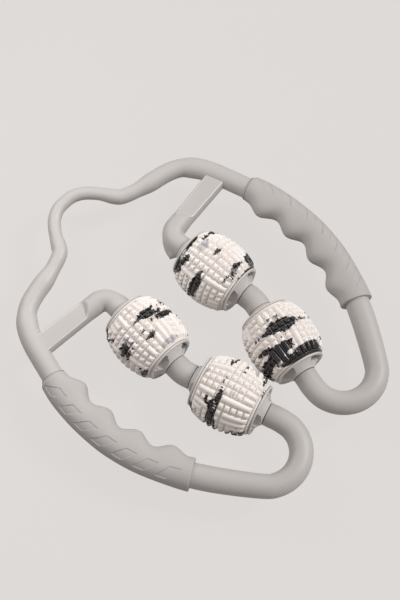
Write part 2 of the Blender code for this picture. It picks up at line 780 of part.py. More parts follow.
def axle_empty(shop, name, centre, way, side):
    """An empty on a roller's axis: local +Z towards the bow, a row of studs straight down."""
    axis = Vector((side * way.x, way.y, 0.0))
    down = Vector((0.0, 0.0, -1.0))
    basis = Matrix((down, axis.cross(down), axis)).transposed().to_4x4()
    half_row = Matrix.Rotation(-math.pi / STUD_ROWS, 4, "Z")
    empty = bpy.data.objects.new(name, None)
    empty.empty_display_size = HUB_HALF
    place = Matrix.Translation(level(Vector((side * centre.x, centre.y)), 0.0))
    empty.matrix_world = place @ basis @ half_row
    shop.parts.objects.link(empty)
    return empty


def add_on_axle(shop, name, mesh, material, empty, flip=False):
    """A turned piece on a roller's axis, turned end for end when flip is set."""
    obj = bpy.data.objects.new(name, mesh)
    shop.parts.objects.link(obj)
    if not mesh.materials:
        mesh.materials.append(shop.materials[material])
    obj.parent = empty
    if flip:
        obj.rotation_euler = (math.pi, 0.0, 0.0)
    return obj


def make_rollers(shop, plan):
    """Two rollers on each axle, each a skin on a drum with two caps and a sleeve."""
    shapes = {"skin": skin_mesh(), "drum": drum_mesh(), "cap": cap_mesh(), "sleeve": sleeve_mesh()}
    meshes = {key: obj.data for key, obj in shapes.items()}
    for obj in shapes.values():
        bpy.data.objects.remove(obj, do_unlink=True)
    stations = {"head": (plan.head_roller, plan.head_way), "tail": (plan.tail_roller, plan.tail_way)}
    for word, side in SIDES.items():
        for end, (centre, way) in stations.items():
            name = f"{word}_{end}_roller"
            empty = axle_empty(shop, name + "_axis", centre, way, side)
            add_on_axle(shop, name + "_skin", meshes["skin"], "skin", empty)
            add_on_axle(shop, name + "_drum", meshes["drum"], "drum", empty)
            add_on_axle(shop, name + "_head_cap", meshes["cap"], "frame", empty)
            add_on_axle(shop, name + "_tail_cap", meshes["cap"], "frame", empty, flip=True)
            add_on_axle(shop, name + "_sleeve", meshes["sleeve"], "sleeve", empty)


def main():
    clear_scene()
    shop = Workshop()
    plan = Plan()
    make_bow(shop, plan)
    for word, side in SIDES.items():
        make_arm(shop, plan, word, side)
        make_grip(shop, plan, word, side)
        make_strut(shop, plan, word, side)
        make_axle(shop, plan, word, side)
        make_spacer(shop, plan, word, side)
    make_rollers(shop, plan)


main()
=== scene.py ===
"""Looks of the ring massager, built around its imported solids. Sizes are in metres."""

import math

import bmesh
import bpy
from mathutils import Matrix, Vector


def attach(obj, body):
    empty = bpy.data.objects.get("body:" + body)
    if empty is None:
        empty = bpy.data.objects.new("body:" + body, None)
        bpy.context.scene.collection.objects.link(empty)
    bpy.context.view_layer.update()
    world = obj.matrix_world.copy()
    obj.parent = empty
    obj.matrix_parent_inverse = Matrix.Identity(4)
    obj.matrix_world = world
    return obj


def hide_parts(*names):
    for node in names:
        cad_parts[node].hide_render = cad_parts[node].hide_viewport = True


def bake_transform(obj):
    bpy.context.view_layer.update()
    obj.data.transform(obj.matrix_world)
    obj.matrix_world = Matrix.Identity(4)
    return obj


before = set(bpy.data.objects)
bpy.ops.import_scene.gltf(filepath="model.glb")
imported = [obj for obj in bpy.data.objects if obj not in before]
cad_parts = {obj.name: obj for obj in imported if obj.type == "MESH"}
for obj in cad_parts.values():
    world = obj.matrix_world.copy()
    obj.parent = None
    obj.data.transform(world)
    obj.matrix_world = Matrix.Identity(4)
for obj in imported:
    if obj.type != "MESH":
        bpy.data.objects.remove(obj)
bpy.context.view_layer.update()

SIDES = {"left": -1, "right": 1}
UP = Vector((0.0, 0.0, 1.0))

# Plan of the part, with the same names and values as its source
FIT_GAP = 0.0003
LENGTH = 0.2522
HALF_WIDTH = 0.0993
BOW_R = 0.0045
NECK_R = 0.0052
SHOULDER_R = 0.0064
ARM_R = 0.0072
TAIL_R = 0.0081
HOOK_BEND_R = 0.0224
HOOK_STRAIGHT = LENGTH * 0.0393
HOOK_SWEEP = math.radians(158.0)
HOOK_STEPS = 7
ROLLER_R = 0.0241
ROLLER_RIM_R = ROLLER_R * 0.730
ROLLER_HALF = LENGTH * 0.0807
HUB_HALF = LENGTH * 0.1033
END_PLAY = 0.0004
TAIL_ROLLER_GAP = 0.0020
TAIL_ROLLER_X = ROLLER_R + TAIL_ROLLER_GAP / 2
TAIL_TILT = math.radians(15.5)
HEAD_TILT = math.radians(3.4)
SPACER_LENGTH = LENGTH * 0.0587
SPACER_R = 0.0083
AXLE_BEND_R = 0.0180
ELBOW_R = 0.0080
ELBOW_INNER_R = 0.0008
ELBOW_BEND_R = ELBOW_R + ELBOW_INNER_R
ELBOW_STRAIGHT = 0.0049
ELBOW_LEG = ELBOW_BEND_R + ELBOW_STRAIGHT
ELBOW_TAPER = 0.0095
STRUT_R = 0.0070
STRUT_END_R = 0.0076
STRUT_RISE = math.radians(6.2)
STRUT_FLAT_HEIGHT = 0.0045
FLAT_START = 0.0180
FLAT_SKEW = math.radians(24.0)
GRIP_LENGTH = 0.1135
GRIP_HEAD_SHARE = 0.300
GRIP_OUTER_WALL = 0.0022
GRIP_TOP_WALL = 0.0017
GRIP_VALLEY_WALL = 0.0028
GRIP_RIDGE_WALL = 0.0078
GRIP_RIDGES = 4
DRUM_R = ROLLER_R * 0.614
DRUM_INSET = 0.0045
CAP_FLANGE_R = ROLLER_R * 0.710
CAP_FLANGE = 0.0014
CAP_LIP = ROLLER_R * 0.104
BOSS_ROOT_R = ROLLER_R * 0.390
BOSS_TIP_R = ROLLER_R * 0.357
BOSS_ROOT_HEIGHT = 0.0024

# The part's rows of studs, on which it rests, set the height of the ring's middle plane
CAD_STUD_ROWS = 22
RING_Z = ROLLER_R * math.cos(math.pi / CAD_STUD_ROWS)

# The right half of the outline from the bow to the hook: share of X, share of Y, tube radius
OUTLINE_SHARES = (
    (0.066, 0.959, BOW_R),
    (0.126, 0.936, BOW_R),
    (0.173, 0.902, BOW_R),
    (0.219, 0.854, BOW_R),
    (0.257, 0.803, NECK_R),
    (0.290, 0.767, NECK_R),
    (0.346, 0.745, NECK_R),
    (0.412, 0.727, NECK_R),
    (0.505, 0.709, SHOULDER_R),
    (0.598, 0.694, SHOULDER_R),
    (0.680, 0.674, SHOULDER_R),
    (0.744, 0.646, SHOULDER_R),
    (0.795, 0.604, ARM_R),
    (0.837, 0.551, ARM_R),
    (0.870, 0.488, ARM_R),
    (0.894, 0.425, ARM_R),
    (0.940, 0.294, ARM_R),
    (0.977, 0.190, ARM_R),
    (0.997, 0.060, ARM_R),
    (0.999, -0.070, ARM_R),
    (0.987, -0.177, ARM_R),
    (0.950, -0.308, ARM_R),
    (0.890, -0.438, ARM_R),
    (0.799, -0.577, TAIL_R),
    (0.694, -0.710, TAIL_R),
)
NECK_INDEX = 6

# Fineness of the meshes
STEPS_PER_POINT = 16
TUBE_SIDES = 48
TUBE_STEP = 0.0015
STRUT_STEP = 0.0006
STRUT_TOP_STEPS = 14
STRUT_ROUND_STEPS = 42
EDGE_SEARCH_STEPS = 20
GRIP_SIDES = 64
GRIP_STEP = 0.0009
GRIP_BORE_STRIDE = 4
RECESS_STEPS = 8
CAP_SEGMENTS = 96
WINDOW_CORNER_STEPS = 6
EDGE_ANGLES = [math.radians(angle) for angle in (30.0, 60.0, 90.0)]
GRIP_EDGE_ANGLES = [math.radians(angle) for angle in (35.0, 65.0, 90.0)]
SMOOTH_ANGLE = math.radians(32.0)
SKIN_SMOOTH_ANGLE = math.radians(50.0)
MERGE_DISTANCE = 0.000001

# Finer shapes of the frame than the part's: the step that ends the flat, the flat's bevelled edges
# with a painted highlight, the elbow's lip, slimmer elbows and hooks, and round edges at the tubes'
# ends
STEP_LENGTH = 0.0062
STEP_RISE = 0.0032
FLAT_BEVEL = 0.00035
WIDEST_EDGE_ANGLE = math.radians(75.0)
ELBOW_TRIM = 0.0006
LIP_REACH = 0.0046
LIP_PEAK = 0.0036
LIP_LENGTH = 0.0130
LIP_POWER = 18
LIP_WAY = math.radians(-30.0)
HOOK_TRIM = 0.00035
TUBE_EDGE = 0.0005

# Finer shapes of the grips: the ridges' run, walls that grow from the head end, its seam, recesses
GRIP_PLAIN_END = 0.0037
GRIP_EDGE = 0.0004
GRIP_HEAD_WALL = 0.0006
GRIP_HEAD_RAMP = 0.0036
GRIP_FINGER_RAMP = 0.0095
GRIP_SEAM_PLACE = 0.0004
GRIP_SEAM_WIDTH = 0.0004
GRIP_SEAM_DEPTH = 0.0006
RECESS_COUNT = 7
RECESS_END = 0.0045
RECESS_SPAN = 0.1023
RECESS_LENGTH = 0.0073
RECESS_SLANT = 0.0075
RECESS_DEPTH = 0.0002
RECESS_LOW = math.radians(39.0)
RECESS_HIGH = math.radians(88.0)

# Studded skin. Cell shares are the mesh lines across one stud's cell, and row cells are the
# lengths of a row's studs and bars in cells. The rows repeat after half a turn.
STUD_ROWS = 28
STUD_COLUMNS = 9
STUD_HEIGHT = 0.0012
STUD_TOP_R = 0.0238
BARREL_FALL = STUD_TOP_R - ROLLER_RIM_R - STUD_HEIGHT
STUD_BAND_HALF = ROLLER_HALF * 0.932
GROOVE_DEPTH = 0.0021
GROOVE_SHARE = 0.40
GROOVE_FLOOR = 0.11
CELL_SHARES = (0.0, 0.045, 0.10, 0.17, 0.26, 0.38, 0.50, 0.62, 0.74, 0.83, 0.90, 0.955)
ROW_CELLS = (
    (1, 1, 1, 1, 1, 1, 1, 2),
    (1, 1, 1, 1, 1, 1, 1, 1, 1),
    (4, 1, 1, 1, 1, 1),
    (1, 1, 1, 1, 1, 4),
    (2, 1, 1, 1, 1, 1, 1, 1),
    (2, 1, 1, 1, 1, 1, 1, 1),
    (3, 1, 1, 1, 1, 2),
    (1, 1, 1, 1, 1, 1, 1, 1, 1),
    (1, 1, 1, 1, 1, 1, 3),
    (2, 1, 1, 1, 4),
    (3, 1, 1, 4),
    (1, 1, 1, 1, 1, 1, 1, 1, 1),
    (3, 1, 5),
    (1, 1, 1, 1, 1, 1, 1, 2),
)

# Hubs: their windows, and the fine seam between a cap's rim and the skin
WINDOWS = 3
WINDOW_HALF_ANGLE = math.radians(29.0)
WINDOW_ROUND = 0.0032
WINDOW_INNER_ROUND = WINDOW_ROUND * 0.7
WINDOW_REACH = 0.0009
WINDOW_DEPTH = 0.0055
SEAM_WIDTH = 0.0004
SEAM_DEPTH = 0.0011

# What differs from roller to roller: the row of studs straight down, the turn of both hubs in
# degrees, and the place that its splashes take in the noise
FIRST_ROWS = {"left_head": 22, "left_tail": 0, "right_head": 20, "right_tail": 25}
HUB_TURNS = {"left_head": 18.0, "left_tail": 0.0, "right_head": 0.0, "right_tail": 0.0}
SPLASH_SHIFTS = {
    "left_head": (3.05, 1.27, 0.81),
    "left_tail": (1.37, 0.41, 0.22),
    "right_head": (2.11, 0.93, 0.48),
    "right_tail": (0.31, 0.12, 0.05),
}

# Colours in linear light
FRAME_GREY = (0.524, 0.500, 0.481)
# Painted highlight: a lighter grey for the bevels along the strut's flat
EDGE_HIGHLIGHT_GREY = (0.760, 0.717, 0.688)
HUB_GREY = (0.610, 0.584, 0.560)
GRIP_GREY = (0.500, 0.475, 0.461)
CREAM = (0.935, 0.887, 0.843)
GROOVE_SHADE = (0.60, 0.53, 0.48)
SPLASH_BLACK = (0.013, 0.009, 0.010)
SPLASH_GREY = (0.47, 0.46, 0.50)
DRUM_GREY = (0.42, 0.40, 0.39)
# Painted shade: a dark grey for the walls and floors of the hubs' windows
WINDOW_SHADE_GREY = (0.25, 0.225, 0.22)
SLEEVE_WHITE = (0.80, 0.80, 0.78)
STEEL = (0.55, 0.56, 0.58)
BACKGROUND = (0.737, 0.708, 0.687)

# Moulded looks: material, colour, roughness, scale and height of the grain, mottle of the colour
FINISHES = {
    "frame": ("frame_plastic", FRAME_GREY, 0.50, 2400.0, 0.00005, 0.012),
    # Painted highlight on the bevels along the strut's flat
    "edge_highlight": ("edge_painted_highlight", EDGE_HIGHLIGHT_GREY, 0.30, 2400.0, 0.00003, 0.020),
    "hub": ("hub_plastic", HUB_GREY, 0.48, 2400.0, 0.00005, 0.012),
    "grip": ("grip_rubber", GRIP_GREY, 0.68, 1900.0, 0.00010, 0.015),
    "drum": ("drum_plastic", DRUM_GREY, 0.60, 1800.0, 0.00008, 0.030),
    # Painted shade in the hubs' windows
    "window": ("window_plastic", WINDOW_SHADE_GREY, 0.60, 1800.0, 0.00008, 0.030),
    "sleeve": ("sleeve_plastic", SLEEVE_WHITE, 0.35, 2600.0, 0.00004, 0.030),
}
CLOUD_SCALE = 38.0
GLOSS_SPREAD = 0.06
GRAIN_STRENGTH = 0.35
INNER_LOOKS = {"_drum": "drum", "_sleeve": "sleeve", "_axle": "steel"}

# Noises: nearly all of a noise lies inside its range
NOISE_RANGE = (0.3, 0.7)
NOISE_DETAIL = 2.0
FINE_DETAIL = 3.0
NOISE_ROUGHNESS = 0.5

# Splashes: a broad noise with a ragged one on top, black over a level, and grey smears
SPLASH_SCALE = 28.0
SPLASH_STRETCH = (1.0, 1.0, 3.0)
SPLASH_NOISE_ROUGHNESS = 0.55
RAGGED_SCALE = 330.0
RAGGED_STRETCH = (2.4, 2.4, 0.6)
RAGGED_NOISE_ROUGHNESS = 0.65
RAGGED_SHARE = 0.15
SPLASH_LEVEL = 0.640
SPLASH_EDGE = 0.004
SMEAR_SCALE = 60.0
SMEAR_STRETCH = (1.0, 1.0, 2.4)
SMEAR_RANGE = (0.67, 0.70)
SMEAR_SHARE = 0.75

# Cream rubber: its tint, the painted shade deep in its grooves, and its gloss with and without a
# splash
TINT_SCALE = 60.0
TINT_MOTTLE = 0.02
HOLLOW_START = 0.6
HOLLOW_SHADE = 0.27
HOLLOW_FADE_START = 0.80
HOLLOW_FADE = 0.30
CREAM_ROUGHNESS = 0.52
SPLASH_ROUGHNESS = 0.26
SKIN_GRAIN_SCALE = 2600.0
SKIN_GRAIN_STRENGTH = 0.30
SKIN_GRAIN_HEIGHT = 0.00006

# Recess rubber: waves bent by a wobble
WOBBLE_SCALE = 260.0
WOBBLE_REACH = (0.0016, 0.0016, 0.0016)
WAVE_SCALE = 300.0
WAVE_RANGE = (0.1, 0.9)
WAVE_TONES = (0.86, 1.03)
WAVE_STRENGTH = 0.7
WAVE_HEIGHT = 0.00016
RECESS_GRAIN_SCALE = 2300.0
RECESS_ROUGHNESS = (0.64, 0.76)

# Steel: fine scratches along the rod
SCRATCH_STRETCH = (1.0, 0.05, 1.0)
SCRATCH_SCALE = 2400.0
SCRATCH_TONES = (0.9, 1.1)
SCRATCH_STRENGTH = 0.2
SCRATCH_HEIGHT = 0.00003
STEEL_ROUGHNESS = (0.22, 0.38)

# Camera, as fitted to the photograph
CAMERA_AZIMUTH = math.radians(-47.0646)
CAMERA_ELEVATION = math.radians(67.3274)
CAMERA_TARGET = (0.01026, 0.0046, RING_Z)
CAMERA_DISTANCE = 0.792
CAMERA_LENS = 72.0

# Lights, and the floor, which glows in the backdrop's colour
LIGHT_WAY = (0.640, -0.380, 0.670)
LIGHT_STRENGTH = 1.86
LIGHT_ANGLE = math.radians(18.0)
NEAR_LAMP_PLACE = (-0.03, 0.22, 0.24)
NEAR_LAMP_POWER = 0.36
NEAR_LAMP_SIZE = 0.20
SKY_COLOUR = (1.0, 0.935, 0.93)
SKY_STRENGTH = 0.395
FLOOR_HALF = 3.0
FLOOR_Z = -0.000001
FLOOR_GLOW = 0.94
FLOOR_GREY = 0.30
FLOOR_ROUGHNESS = 0.9
SPECK_SCALE = 14.0
SPECK_MOTTLE = 0.002


# Runs in plan. Each point holds X, Y and, in place of Z, the tube's radius there.

def smooth_run(points, steps):
    """A Catmull-Rom run through the points, from the second to the last but one."""
    run = []
    for before, here, there, after in zip(points, points[1:], points[2:], points[3:]):
        for step in range(steps):
            t = step / steps
            slope = (there - before) * t
            bend = (before * 2.0 - here * 5.0 + there * 4.0 - after) * t ** 2
            twist = (here * 3.0 - before - there * 3.0 + after) * t ** 3
            run.append(here + (slope + bend + twist) / 2.0)
    run.append(points[-2].copy())
    return run


def heading(angle):
    """A level direction: 0 is along +X and a quarter turn is along +Y."""
    return Vector((math.cos(angle), math.sin(angle)))


def turned_left(way):
    """The level direction a quarter turn to the left."""
    return Vector((-way.y, way.x))


def arc(start, way, radius, sweep, steps):
    """Points on a level arc that starts along a direction. A positive sweep turns left."""
    centre = start + turned_left(way) * math.copysign(radius, sweep)
    spoke = start - centre
    return [centre + Matrix.Rotation(sweep * i / steps, 2) @ spoke for i in range(steps + 1)]


def rounded_corner(corner, way_in, way_out, radius, steps):
    """Points on the arc that rounds a corner between two directions."""
    cross = way_in.x * way_out.y - way_in.y * way_out.x
    sweep = math.atan2(cross, way_in.dot(way_out))
    start = corner - way_in * radius * math.tan(abs(sweep) / 2)
    return arc(start, way_in, radius, sweep, steps)


def with_radius(points, radius):
    """Run points that all have one tube radius."""
    return [Vector((point.x, point.y, radius)) for point in points]


class Track:
    """A run that can be asked for its point and direction at any distance."""

    def __init__(self, run):
        self.run = run
        self.lengths = [0.0]
        for here, there in zip(run, run[1:]):
            self.lengths.append(self.lengths[-1] + (there.xy - here.xy).length)
        self.length = self.lengths[-1]

    def at(self, distance):
        """The point at a distance, which carries on straight past either end."""
        index = 1
        while self.lengths[index] < distance and index < len(self.run) - 1:
            index += 1
        before = self.lengths[index - 1]
        share = (distance - before) / (self.lengths[index] - before)
        return self.run[index - 1].lerp(self.run[index], share)

    def way(self, distance):
        """The level direction at a distance."""
        return (self.at(distance + TUBE_STEP).xy - self.at(distance - TUBE_STEP).xy).normalized()

    def distance_at_y(self, y):
        """How far along the run falls to the given Y."""
        for length, point in zip(self.lengths, self.run):
            if point.y < y:
                return length
        return self.length


class Plan:
    """Places of the right side in plan, worked out from the tail upwards."""

    def __init__(self):
        hub_reach = HUB_HALF + END_PLAY
        self.tail_way = heading(math.pi / 2 - TAIL_TILT)
        self.head_way = heading(math.pi / 2 + HEAD_TILT)
        hook_y = TAIL_R + HOOK_BEND_R - LENGTH / 2
        spoke = turned_left(self.tail_way) * HOOK_BEND_R
        roller_above_hook = spoke + self.tail_way * (HOOK_STRAIGHT + hub_reach)
        hook_centre = Vector((TAIL_ROLLER_X - roller_above_hook.x, hook_y))
        self.hook_top = hook_centre + spoke
        self.tube_end = self.hook_top + self.tail_way * HOOK_STRAIGHT
        self.tail_roller = self.tube_end + self.tail_way * hub_reach
        self.bend = self.tail_roller + self.tail_way * (hub_reach + SPACER_LENGTH / 2)
        self.head_roller = self.bend + self.head_way * (hub_reach + SPACER_LENGTH / 2)
        self.elbow_end = self.head_roller + self.head_way * hub_reach
        self.elbow_corner = self.elbow_end + self.head_way * ELBOW_LEG
        self.strut_way = heading(STRUT_RISE)
        self.ring = Track(self.half_ring())
        self.neck = self.ring.lengths[NECK_INDEX * STEPS_PER_POINT]
        self.grip_start = self.ring.distance_at_y(GRIP_HEAD_SHARE * LENGTH / 2)
        self.strut_length = self.distance_to_arm()

    def half_ring(self):
        """The right half of the ring's centre line, from the bow's middle to the tail roller."""
        points = [Vector((0.0, LENGTH / 2 - BOW_R, BOW_R))]
        for x_share, y_share, radius in OUTLINE_SHARES:
            points.append(Vector((x_share * HALF_WIDTH, y_share * LENGTH / 2, radius)))
        hook = arc(self.hook_top, -self.tail_way, HOOK_BEND_R, HOOK_SWEEP, HOOK_STEPS)
        points += with_radius([*reversed(hook), self.tube_end], TAIL_R - HOOK_TRIM)
        before = Vector((-points[1].x, points[1].y, points[1].z))
        beyond = with_radius([self.tube_end + self.tail_way * HOOK_STRAIGHT], TAIL_R - HOOK_TRIM)
        return smooth_run([before, *points, *beyond], STEPS_PER_POINT)

    def distance_to_arm(self):
        """How far the strut's centre line runs from the elbow's corner to the arm's."""
        across = turned_left(self.strut_way)
        for here, there in zip(self.ring.run, self.ring.run[1:]):
            above = (here.xy - self.elbow_corner).dot(across)
            below = (there.xy - self.elbow_corner).dot(across)
            ahead = (here.xy - self.elbow_corner).dot(self.strut_way)
            if above > 0.0 >= below and ahead > 0.0:
                crossing = here.lerp(there, above / (above - below))
                return (crossing.xy - self.elbow_corner).dot(self.strut_way)
        raise ValueError("the strut's line misses the arm")


# Meshes

def link(obj):
    """Put an object in the scene."""
    bpy.context.scene.collection.objects.link(obj)
    return obj


def finished(name, bm, angle=SMOOTH_ANGLE):
    """Weld, turn the faces outwards, shade smooth between sharp edges and make the object."""
    bmesh.ops.remove_doubles(bm, verts=bm.verts, dist=MERGE_DISTANCE)
    bmesh.ops.recalc_face_normals(bm, faces=bm.faces)
    mesh = bpy.data.meshes.new(name)
    bm.to_mesh(mesh)
    bm.free()
    mesh.shade_smooth()
    mesh.set_sharp_from_angle(angle=angle)
    return link(bpy.data.objects.new(name, mesh))


def bridged(rings, closed=False):
    """Faces between rings of points. An open stack of rings gets a face at each end."""
    bm = bmesh.new()
    loops = [[bm.verts.new(point) for point in ring] for ring in rings]
    pairs = list(zip(loops, loops[1:]))
    if closed:
        pairs.append((loops[-1], loops[0]))
    else:
        bm.faces.new(loops[0])
        bm.faces.new(loops[-1])
    for here, there in pairs:
        for index in range(len(here)):
            after = (index + 1) % len(here)
            bm.faces.new((here[index], here[after], there[after], there[index]))
    return bm


def tube_ring(centre, outward, radius, side, sides=TUBE_SIDES):
    """A circle of points round a level tube."""
    ring = []
    for index in range(sides):
        angle = 2 * math.pi * index / sides
        flat = centre + outward * radius * math.cos(angle)
        ring.append(Vector((side * flat.x, flat.y, RING_Z + radius * math.sin(angle))))
    return ring


def track_rings(track, start, end, side):
    """Circles round a stretch of a track."""
    count = max(2, round(abs(end - start) / TUBE_STEP))
    rings = []
    for index in range(count + 1):
        distance = start + (end - start) * index / count
        place = track.at(distance)
        rings.append(tube_ring(place.xy, turned_left(track.way(distance)), place.z, side))
    return rings


def end_rings(track, distance, inward, side):
    """Circles that round the edge of a tube's end, from the full tube to the end face."""
    rings = []
    for angle in EDGE_ANGLES:
        place = track.at(distance)
        back = TUBE_EDGE * (1 - math.sin(angle))
        radius = place.z - TUBE_EDGE * (1 - math.cos(angle))
        centre = track.at(distance + inward * back).xy
        rings.append(tube_ring(centre, turned_left(track.way(distance)), radius, side))
    return rings


def apply_modifiers(obj):
    """Fix the modifiers of an object in its mesh."""
    bpy.context.view_layer.update()
    evaluated = obj.evaluated_get(bpy.context.evaluated_depsgraph_get())
    mesh = bpy.data.meshes.new_from_object(evaluated)
    obj.modifiers.clear()
    obj.data = mesh


def cut(obj, *cutters):
    """Take the shapes of cutters out of an object, and remove the cutters."""
    for cutter in cutters:
        modifier = obj.modifiers.new("cut", "BOOLEAN")
        modifier.operation = "DIFFERENCE"
        modifier.solver = "EXACT"
        modifier.object = cutter
    apply_modifiers(obj)
    for cutter in cutters:
        bpy.data.objects.remove(cutter, do_unlink=True)


def dress(obj, material, slot, body, *nodes):
    """Give a piece its body and its material, and hide the imported nodes that it stands for."""
    if not obj.data.materials:
        obj.data.materials.append(material)
    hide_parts(*nodes)
    if body:
        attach(obj, body)


# Materials

class Nodes:
    """A Principled material whose node tree is built by short calls."""

    def __init__(self, name):
        self.material = bpy.data.materials.new(name)
        self.material.use_nodes = True
        self.tree = self.material.node_tree
        self.shader = self.tree.nodes["Principled BSDF"]

    def add(self, kind, inputs=None, **settings):
        """A node with its settings, and with each input given a value or an output."""
        node = self.tree.nodes.new(kind)
        for key, value in settings.items():
            setattr(node, key, value)
        for key, value in (inputs or {}).items():
            self.feed(node.inputs[key], value)
        return node

    def feed(self, socket, value):
        """Set an input, or link an output to it."""
        if isinstance(value, bpy.types.NodeSocket):
            self.tree.links.new(value, socket)
        else:
            socket.default_value = value

    def set(self, **inputs):
        """Set or link the shader's inputs, written with _ for each space."""
        for key, value in inputs.items():
            self.feed(self.shader.inputs[key.replace("_", " ")], value)

    def place(self):
        """The point on the piece, in its own metres."""
        return self.add("ShaderNodeTexCoord").outputs["Object"]

    def stretched(self, place, scale, shift=(0.0, 0.0, 0.0)):
        """A point scaled by its own amount along each axis, then moved."""
        inputs = {"Vector": place, "Scale": scale, "Location": shift}
        return self.add("ShaderNodeMapping", inputs).outputs["Vector"]

    def noise(self, place, scale, detail=NOISE_DETAIL, roughness=NOISE_ROUGHNESS):
        """Noise from 0 to 1."""
        inputs = {"Vector": place, "Scale": scale, "Detail": detail, "Roughness": roughness}
        return self.add("ShaderNodeTexNoise", inputs).outputs["Fac"]

    def sum(self, first, second, factor):
        """first + second * factor."""
        node = self.add("ShaderNodeMath", {1: factor}, operation="MULTIPLY_ADD")
        self.feed(node.inputs[0], second)
        self.feed(node.inputs[2], first)
        return node.outputs[0]

    def span(self, value, low, high, out_low=0.0, out_high=1.0):
        """A value moved from one range to another and held inside it."""
        inputs = {0: value, 1: low, 2: high, 3: out_low, 4: out_high}
        return self.add("ShaderNodeMapRange", inputs).outputs[0]

    def mix(self, share, first, second):
        """A colour between two colours, which are inputs 6 and 7 and output 2 of the node."""
        node = self.add("ShaderNodeMix", data_type="RGBA")
        self.feed(node.inputs[0], share)
        self.feed(node.inputs[6], first)
        self.feed(node.inputs[7], second)
        return node.outputs[2]

    def mottled(self, noise, colour, amount):
        """A colour made a little darker and lighter by a noise."""
        share = self.span(noise, *NOISE_RANGE)
        return self.mix(share, opaque(colour, 1 - amount), opaque(colour, 1 + amount))

    def math(self, operation, first, second=0.0):
        """A number worked out from one or two numbers."""
        return self.add("ShaderNodeMath", {0: first, 1: second}, operation=operation).outputs[0]

    def groove_depth(self, place):
        """How far a point of a roller's skin lies under the stud tops."""
        axes = self.add("ShaderNodeSeparateXYZ", {"Vector": place}).outputs
        x_square, y_square, z_square = [self.math("POWER", axes[name], 2.0) for name in "XYZ"]
        radius = self.math("SQRT", self.math("ADD", x_square, y_square))
        fall = self.math("MULTIPLY", z_square, BARREL_FALL / ROLLER_HALF ** 2)
        return self.math("SUBTRACT", self.math("SUBTRACT", STUD_TOP_R, radius), fall)

    def bump(self, height, strength, distance):
        """A normal raised by a height."""
        inputs = {"Height": height, "Strength": strength, "Distance": distance}
        return self.add("ShaderNodeBump", inputs).outputs["Normal"]


def opaque(colour, factor=1.0):
    """A colour with full alpha, made lighter or darker."""
    return (*[channel * factor for channel in colour], 1.0)


def plastic(name, colour, roughness, grain_scale, grain_height, mottle):
    """Moulded plastic or rubber: a fine grain and a faint variation of colour and gloss."""
    nodes = Nodes(name)
    place = nodes.place()
    cloud = nodes.noise(place, CLOUD_SCALE, FINE_DETAIL)
    grain = nodes.noise(place, grain_scale)
    glossy, dull = roughness - GLOSS_SPREAD, roughness + GLOSS_SPREAD
    nodes.set(
        Base_Color=nodes.mottled(cloud, colour, mottle),
        Roughness=nodes.span(grain, *NOISE_RANGE, glossy, dull),
        Normal=nodes.bump(grain, GRAIN_STRENGTH, grain_height))
    nodes.material.diffuse_color = opaque(colour)
    return nodes.material


def skin_material(name, shift):
    """Cream rubber with ragged black splashes that run round the roller."""
    nodes = Nodes(name)
    place = nodes.place()
    depth = nodes.groove_depth(place)
    hollow = nodes.span(depth, GROOVE_DEPTH * HOLLOW_START, GROOVE_DEPTH)
    broad = nodes.noise(
        nodes.stretched(place, SPLASH_STRETCH, shift),
        SPLASH_SCALE, NOISE_DETAIL, SPLASH_NOISE_ROUGHNESS)
    ragged = nodes.noise(
        nodes.stretched(place, RAGGED_STRETCH, shift),
        RAGGED_SCALE, FINE_DETAIL, RAGGED_NOISE_ROUGHNESS)
    level = nodes.sum(broad, ragged, RAGGED_SHARE)
    splash = nodes.span(level, SPLASH_LEVEL, SPLASH_LEVEL + SPLASH_EDGE)
    smears = nodes.noise(nodes.stretched(place, SMEAR_STRETCH, shift[::-1]), SMEAR_SCALE)
    smear = nodes.span(smears, *SMEAR_RANGE, 0.0, SMEAR_SHARE)
    cream = nodes.mottled(nodes.noise(place, TINT_SCALE, FINE_DETAIL), CREAM, TINT_MOTTLE)
    # Painted shade: the cream turns darker towards the bottom of the grooves
    shade = nodes.span(hollow, 0.0, 1.0, 0.0, HOLLOW_SHADE)
    cream = nodes.mix(shade, cream, opaque(GROOVE_SHADE))
    cream = nodes.mix(smear, cream, opaque(SPLASH_GREY))
    fade = nodes.span(hollow, HOLLOW_FADE_START, 1.0, 0.0, HOLLOW_FADE)
    black = nodes.mix(fade, opaque(SPLASH_BLACK), opaque(SPLASH_GREY))
    grain = nodes.noise(place, SKIN_GRAIN_SCALE)
    nodes.set(
        Base_Color=nodes.mix(splash, cream, black),
        Roughness=nodes.span(splash, 0.0, 1.0, CREAM_ROUGHNESS, SPLASH_ROUGHNESS),
        Normal=nodes.bump(grain, SKIN_GRAIN_STRENGTH, SKIN_GRAIN_HEIGHT))
    nodes.material.diffuse_color = opaque(CREAM)
    return nodes.material


def recess_material():
    """Grip rubber with the fine wavy lines that fill the recesses."""
    nodes = Nodes("recess_rubber")
    place = nodes.place()
    wobble = nodes.noise(place, WOBBLE_SCALE)
    push = nodes.add("ShaderNodeVectorMath", {0: wobble, 1: WOBBLE_REACH}, operation="MULTIPLY")
    bent = nodes.add("ShaderNodeVectorMath", {0: place, 1: push.outputs[0]}, operation="ADD")
    inputs = {"Vector": bent.outputs[0], "Scale": WAVE_SCALE}
    waves = nodes.add("ShaderNodeTexWave", inputs, bands_direction="DIAGONAL").outputs["Fac"]
    tones = [opaque(GRIP_GREY, tone) for tone in WAVE_TONES]
    grain = nodes.noise(place, RECESS_GRAIN_SCALE)
    nodes.set(
        Base_Color=nodes.mix(nodes.span(waves, *WAVE_RANGE), *tones),
        Roughness=nodes.span(grain, *NOISE_RANGE, *RECESS_ROUGHNESS),
        Normal=nodes.bump(waves, WAVE_STRENGTH, WAVE_HEIGHT))
    nodes.material.diffuse_color = opaque(GRIP_GREY)
    return nodes.material


